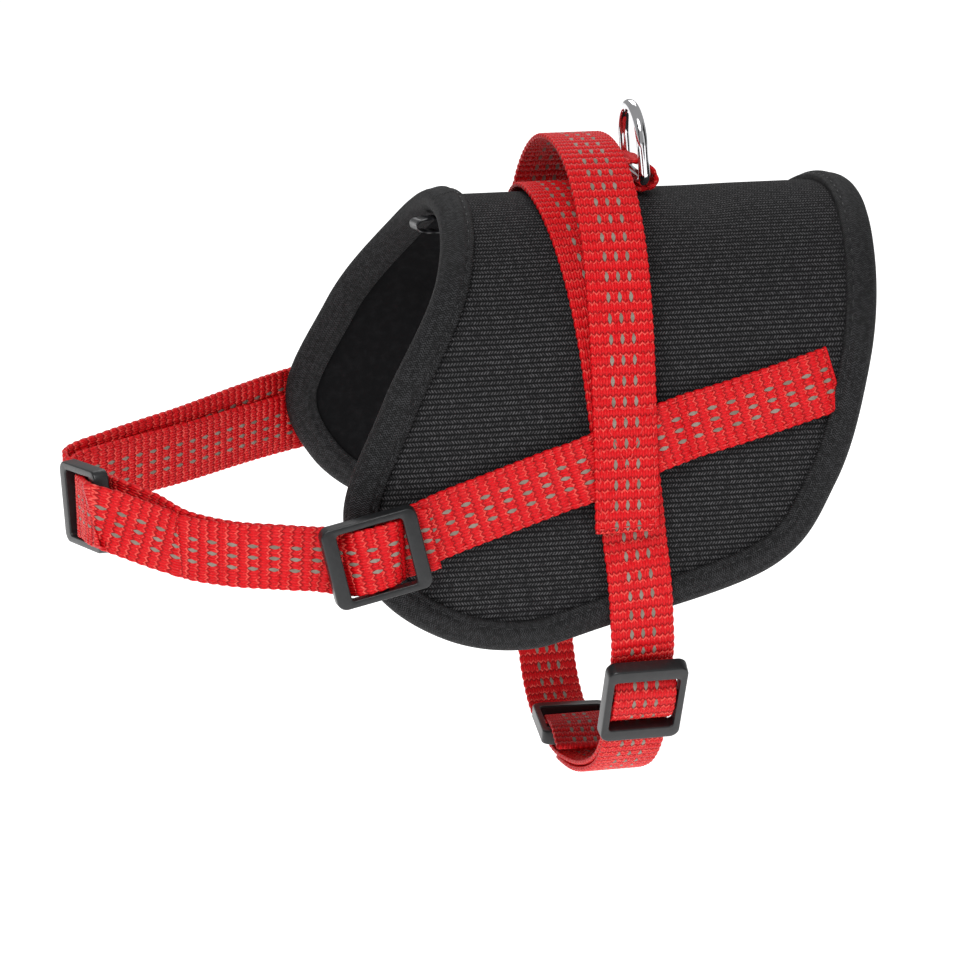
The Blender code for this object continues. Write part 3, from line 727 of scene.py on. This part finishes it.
SLIDERS = {
    "left_chest": ((-0.0729, -0.0512, -0.0648), (-0.9760, 0.0, -0.2180), (0.0, -0.9980, 0.0650)),
    "right_chest": ((-0.1293, -0.0187, -0.0599), (0.3000, -0.9444, 0.1350), (-0.9530, -0.3029, 0.0)),
    "left_girth": ((-0.0102, -0.0456, -0.1040), (0.0, 0.3800, -0.9250), (0.0, -0.9250, -0.3800)),
    "right_girth": ((-0.0119, 0.0097, -0.1389), (-0.0900, -0.9951, 0.0400), (0.0, 0.0400, 0.9992)),
}


def stand(name):
    """The matrix of an adjuster: x along the strap, z outwards, origin on the strap's middle."""
    place, along, outward = (Vector(v) for v in SLIDERS[name])
    along.normalize()
    outward = (outward - outward.dot(along) * along).normalized()
    matrix = Matrix((along, outward.cross(along), outward)).transposed().to_4x4()
    matrix.translation = place
    return matrix


def local(name, profile):
    """Places at (along, height) on an adjuster, or at (along, aside, height)."""
    return [stand(name) @ Vector((p[0], p[1] if len(p) > 2 else 0, p[-1])) for p in profile]


def at(name, along):
    return stand(name) @ Vector((along, 0, 0))


spots, facing = np.array(chest_places), chest_normals
BESIDE_NEAR, BESIDE_FAR = 0.012, 0.0205
left_at, right_at = (np.array(SLIDERS[n][0]) for n in ("left_chest", "right_chest"))
in_front = range(len(left_sewn), len(chest_places) - len(right_sewn) - 6)
front = [
    k for k in in_front
    if np.linalg.norm(spots[k] - left_at) > BESIDE_NEAR
    and np.linalg.norm(spots[k] - right_at) > BESIDE_FAR
    and spots[k][1] < -0.02 and spots[k][0] < left_at[0]
][::7]
far = [k for k in in_front if spots[k][1] > -0.0052 and spots[k][1] < 0.0520][::6]
run = local("left_chest", ((-0.0138, LAYER + 0.0001), (-0.0105, LAYER + 0.0002)) + ROUND_BAR)
SAG_X = (-0.1293, -0.1258, -0.1190, -0.1130, -0.1040, -0.0830)
SAG_Z = (0.0006, -0.0004, -0.0016, -0.0006, 0.0001, 0.0003)
for k in front:
    drop = float(np.interp(spots[k][0], SAG_X, SAG_Z))
    run.append(Vector(spots[k] + facing[k] * LAYER) + drop * UP)
run += local("right_chest", ((0.0136, -0.0004, LOOP_OVER - 0.0008), (0.0112, -0.0002, LOOP_OVER)))
run += local("right_chest", tuple(reversed(OVER_BAR[:7])))
for number, k in enumerate(far):
    climb = 0.0014 + 0.0054 * number / (len(far) - 1)
    run.append(Vector(spots[k] + facing[k] * (LAYER + 0.0001)) + UP * climb)
outer_places = smooth_route(run)
outer_normals = level_normals(outer_places)
outer_steps = [(b - a).length for a, b in zip(outer_places, outer_places[1:])]
outer_walked = np.concatenate([[0], np.cumsum(outer_steps)])


def walked_to(place):
    """How far along the outer run lies closest to a place."""
    away = [(p - Vector(place)).length for p in outer_places]
    return float(outer_walked[int(np.argmin(away))])


cuts = [
    0.0, walked_to(local("left_chest", ((0.0, LOOP_HIGH),))[0]), walked_to((-0.1060, -0.0478, -0.0642)),
    walked_to(local("right_chest", ((0.0, LOOP_HIGH),))[0]), float(outer_walked[-1]),
]
for name, low, high, ends, replaced, (start, end) in (
    ("chest_loop_back", cuts[0], cuts[1], ("harness", "left_chest_adjuster"), "left_chest_slider_loop",
     (at("left_chest", -0.0125), at("left_chest", -0.0010))),
    ("chest_loop_front", cuts[1], cuts[2], ("left_chest_adjuster", "harness"), "chest_strap_outer_left",
     (at("left_chest", 0.0060), at("left_chest", 0.0320))),
    ("chest_outer_near", cuts[2], cuts[3], ("harness", "right_chest_adjuster"), "right_chest_slider_loop",
     (at("right_chest", 0.0320), at("right_chest", 0.0100))),
    ("chest_outer_far", cuts[3], cuts[4], ("right_chest_adjuster", "harness"), "chest_strap_outer_right",
     (at("right_chest", -0.0060), at("right_chest", -0.0200))),
):
    piece = strap(name, outer_places, outer_normals, cut=(low, high), start=0.0006)
    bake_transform(piece)
    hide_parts(replaced)

# --- Girth webbing -----------------------------------------------------------------------------
# One closed length over the saddle and under the belly, doubled on the near side where its end
# comes back through the near adjuster, and looped through the far adjuster at the bottom.


def girth_lift(flat):
    return ON_CLOTH + (ON_BINDING - ON_CLOTH) * eased(abs(flat.y), 0.0960, 0.1030)


spans = [0.1100 - 0.2200 * k / 110 for k in range(111)]
over = [wrap(girth_x(s), s, girth_lift(Vector((0, s)))) for s in spans]
around = [over[-1][0], *BELLY_ROUTE, over[0][0]]
under = smooth_route(around)[1:-1]
girth_places = [p for p, _ in over] + under
shift = len(over) + int(0.62 * len(under))
girth_places = girth_places[shift:] + girth_places[:shift]
girth = strap("girth_web", girth_places, lengthwise_normals(girth_places))
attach(girth, "harness")
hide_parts("girth_strap", "belly_strap")

belly = [k for k in range(0, len(under), 7) if -0.0400 < under[k].y < 0.0030 and under[k].z < -0.115]
under_normals = lengthwise_normals(under)
run = local("left_girth", ((-0.0098, LAYER + 0.0004),) + ROUND_BAR)
for k in belly:
    high = LAYER * (1 - 0.4 * eased(under[k].y, -0.012, 0.001))
    run.append(Vector(np.array(under[k]) + under_normals[k] * high))
near_places = smooth_route(run)
near = strap("girth_loop_near", near_places, lengthwise_normals(near_places), start=0.0010)
near_start, near_end = at("left_girth", 0.0070), at("left_girth", 0.0330)
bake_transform(near)
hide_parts("left_girth_slider_loop", "belly_strap_outer")

tail = ((0.0136, LOOP_OVER - 0.0004), (0.0172, LAYER + 0.0042), (0.0205, LAYER + 0.0036))
far_places = smooth_route(local("right_girth", ((-0.0095, ON_STRAP),) + OVER_BAR + tail))
far_loop = strap("girth_loop_far", far_places, -lengthwise_normals(far_places), start=0.0016)
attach(far_loop, "right_girth_adjuster")
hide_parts("right_girth_slider_loop")

# --- Handle ------------------------------------------------------------------------------------
# Webbing arched over the ridge and sewn down each flank over the other straps; its lower ends are
# crossed with stitches.


def handle_lift(s):
    return ON_CHEST + (0.0122 - ON_CHEST) * (1 - eased(abs(s), 0.008, 0.0640))


arch = [wrap(handle_x(s), s, handle_lift(s)) for s in (0.0930 - 0.1860 * k / 310 for k in range(311))]
handle = strap("handle_web", [p for p, _ in arch], [n for _, n in arch], start=0.0004)
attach(handle, "harness")
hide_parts("handle_strap")

# Each foot is sewn with a crossed box, and the chest strap with a line along each selvedge. A line
# of the box runs between two (s, distance from the handle's middle).
THREAD_LIFT = WEB_THICK / 2 + 0.00006
CROSSED_BOX = (
    ((0.0655, -0.0060), (0.0660, 0.0060)), ((0.0920, -0.0060), (0.0915, 0.0060)),
    ((0.0655, -0.0060), (0.0915, 0.0060)), ((0.0655, 0.0060), (0.0915, -0.0060)),
    ((0.0655, -0.0062), (0.0920, -0.0062)), ((0.0655, 0.0062), (0.0920, 0.0062)),
)


def thread_lift(flat):
    return chest_lift(flat) + THREAD_LIFT


sewing = []
for side in (-1, 1):
    for low, high in CROSSED_BOX:
        line = []
        for k in range(60):
            s = low[0] + (high[0] - low[0]) * k / 59
            x = handle_x(s) + low[1] + (high[1] - low[1]) * k / 59
            line.append(wrap(x, side * s, ON_CHEST + THREAD_LIFT))
        sewing.append(line)
    for offset in (-0.0062, 0.0062):
        beside = [(x + 0.25 * offset, s + offset) for x, s in CHEST_FLAT]
        sewing.append(sewn_run(beside, side, thread_lift))
strap_stitches = stitches("strap_stitches", sewing, red_thread.material, 0.0018, 0.0010, 0.00020)

# --- Ring tab and label ------------------------------------------------------------------------
# A short folded piece of webbing holds the ring; a folded satin label is sewn under the front edge.
TAB_ROUTE = (
    (-0.0119, 0.0008), (-0.0050, 0.0008), (0.0000, 0.0009), (0.0022, 0.0017), (0.0026, 0.0034),
    (0.0010, 0.0060), (-0.0027, 0.0074), (-0.0072, 0.0064), (-0.0105, 0.0042), (-0.0119, 0.0029),
)
LABEL_ROUTE = (
    (-0.0440, -0.0058), (-0.0490, -0.0058), (-0.0520, -0.0061), (-0.0532, -0.0073),
    (-0.0520, -0.0086), (-0.0490, -0.0089), (-0.0440, -0.0085),
)


def folded(name, route, s, width, thick, look):
    normal = wrap(0, s, 0)[1]
    across = normal.cross(Vector((1, 0, 0)))
    places = smooth_route([wrap(x, s, lift)[0] for x, lift in route], 0.0004)
    ways = np.gradient(np.array(places), axis=0)
    normals = np.cross(ways, np.array(across))
    normals /= np.linalg.norm(normals, axis=1)[:, None]
    made = strap(name, places, normals, look=look, width=width, thick=thick, soften=2)
    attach(made, "harness")
    return made


tab = folded("ring_tab_web", TAB_ROUTE, 0.0, 0.0126, 0.0011, red_plain)
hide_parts("ring_tab")
label = folded("label", LABEL_ROUTE, 0.0060, 0.0096, 0.0005, satin.material)
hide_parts("neck_label")


# --- Lead ring ---------------------------------------------------------------------------------
# Round plated wire bent to a D, its straight side held in the tab.
def arc(centre, radius, start, end, count):
    angles = [math.radians(start + (end - start) * k / count) for k in range(count + 1)]
    return [(centre[0] + radius * math.cos(a), centre[1] + radius * math.sin(a)) for a in angles]


WIRE_RADIUS, RING_HEIGHT, RING_PIVOT = 0.00135, 0.0166, Vector((-0.0009, 0, 0.0069))
half, corner = 0.0085, 0.0022
loop = arc((0, RING_HEIGHT - half), half, 0, 180, 48)
loop += arc((corner - half, corner), corner, 180, 270, 12)
loop += arc((half - corner, corner), corner, 270, 360, 12)
turned = Matrix.Rotation(math.radians(-5), 3, "Y")
ring_rings = []
for k, (y, z) in enumerate(loop):
    (y0, z0), (y1, z1) = loop[k - 1], loop[(k + 1) % len(loop)]
    way = Vector((0, y1 - y0, z1 - z0)).normalized()
    out = way.cross(Vector((1, 0, 0)))
    points = []
    for a in (math.tau * n / 24 for n in range(24)):
        around = out * math.cos(a) + Vector((1, 0, 0)) * math.sin(a)
        points.append(Vector((0, y, z)) + WIRE_RADIUS * around)
    ring_rings.append([turned @ p + RING_PIVOT for p in points])
ring = skin("ring", ring_rings, [[(0, 0, 0)] * 24] * len(loop), steel.material, closed=True)
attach(ring, "ring")
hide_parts("lead_ring")


# --- Slide adjusters ---------------------------------------------------------------------------
# Moulded black plastic: two thick end bars that bow up a little, two thin sides, softened edges,
# and a thin bar across the window under the webbing.
def rounded_rectangle(long, wide, corner):
    x, y = long / 2 - corner, wide / 2 - corner
    points = []
    for cx, cy, start in ((x, y, 0), (-x, y, 90), (-x, -y, 180), (x, -y, 270)):
        points += arc((cx, cy), corner, start, start + 90, 8)
    return points


SOFTENED = 0.00045
for name in SLIDERS:
    outside = rounded_rectangle(FRAME_LONG, FRAME_WIDE, 0.0022)
    inside = rounded_rectangle(0.0152, 0.0156, 0.0009)
    rings = []
    for (ox, oy), (ix, iy) in zip(outside, inside):
        thick = math.hypot(ox - ix, oy - iy)
        bow = 0.00022 * math.cos(math.pi * oy / FRAME_WIDE) * (abs(ox) > 0.0100)
        ring = []
        for corner_x, corner_z, start in ((thick, 1, 90), (thick, -1, 0), (0, -1, 270), (0, 1, 180)):
            for k in range(5):
                a = math.radians(start - 22.5 * k)
                share = (corner_x + SOFTENED * (math.cos(a) + (-1 if corner_x else 1))) / thick
                high = corner_z * (FRAME_HALF + bow - SOFTENED) + SOFTENED * math.sin(a)
                draft = 1 - 0.012 * (high / FRAME_HALF)
                x, y = (ix + (ox - ix) * share) * draft, (iy + (oy - iy) * share) * draft
                ring.append(stand(name) @ Vector((x, y, high + SLIDER_FOOT + FRAME_HALF)))
        rings.append(ring)
    weave = [[(0, 0, 0)] * 20] * len(rings)
    frame_skin = skin(name + "_frame", rings, weave, plastic.material, closed=True)
    bar = bmesh.new()
    bar.from_mesh(frame_skin.data)
    turn = stand(name) @ Matrix.Translation((0, 0, SLIDER_FOOT + 0.0006))
    bmesh.ops.create_cube(bar, size=1, matrix=turn @ Matrix.Diagonal((0.0022, 0.0170, 0.0012, 1)))
    bar.to_mesh(frame_skin.data)
    bar.free()
    frame_skin.data.set_sharp_from_angle(angle=math.radians(40))
    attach(frame_skin, name + "_adjuster")
    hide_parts(name + "_slider")
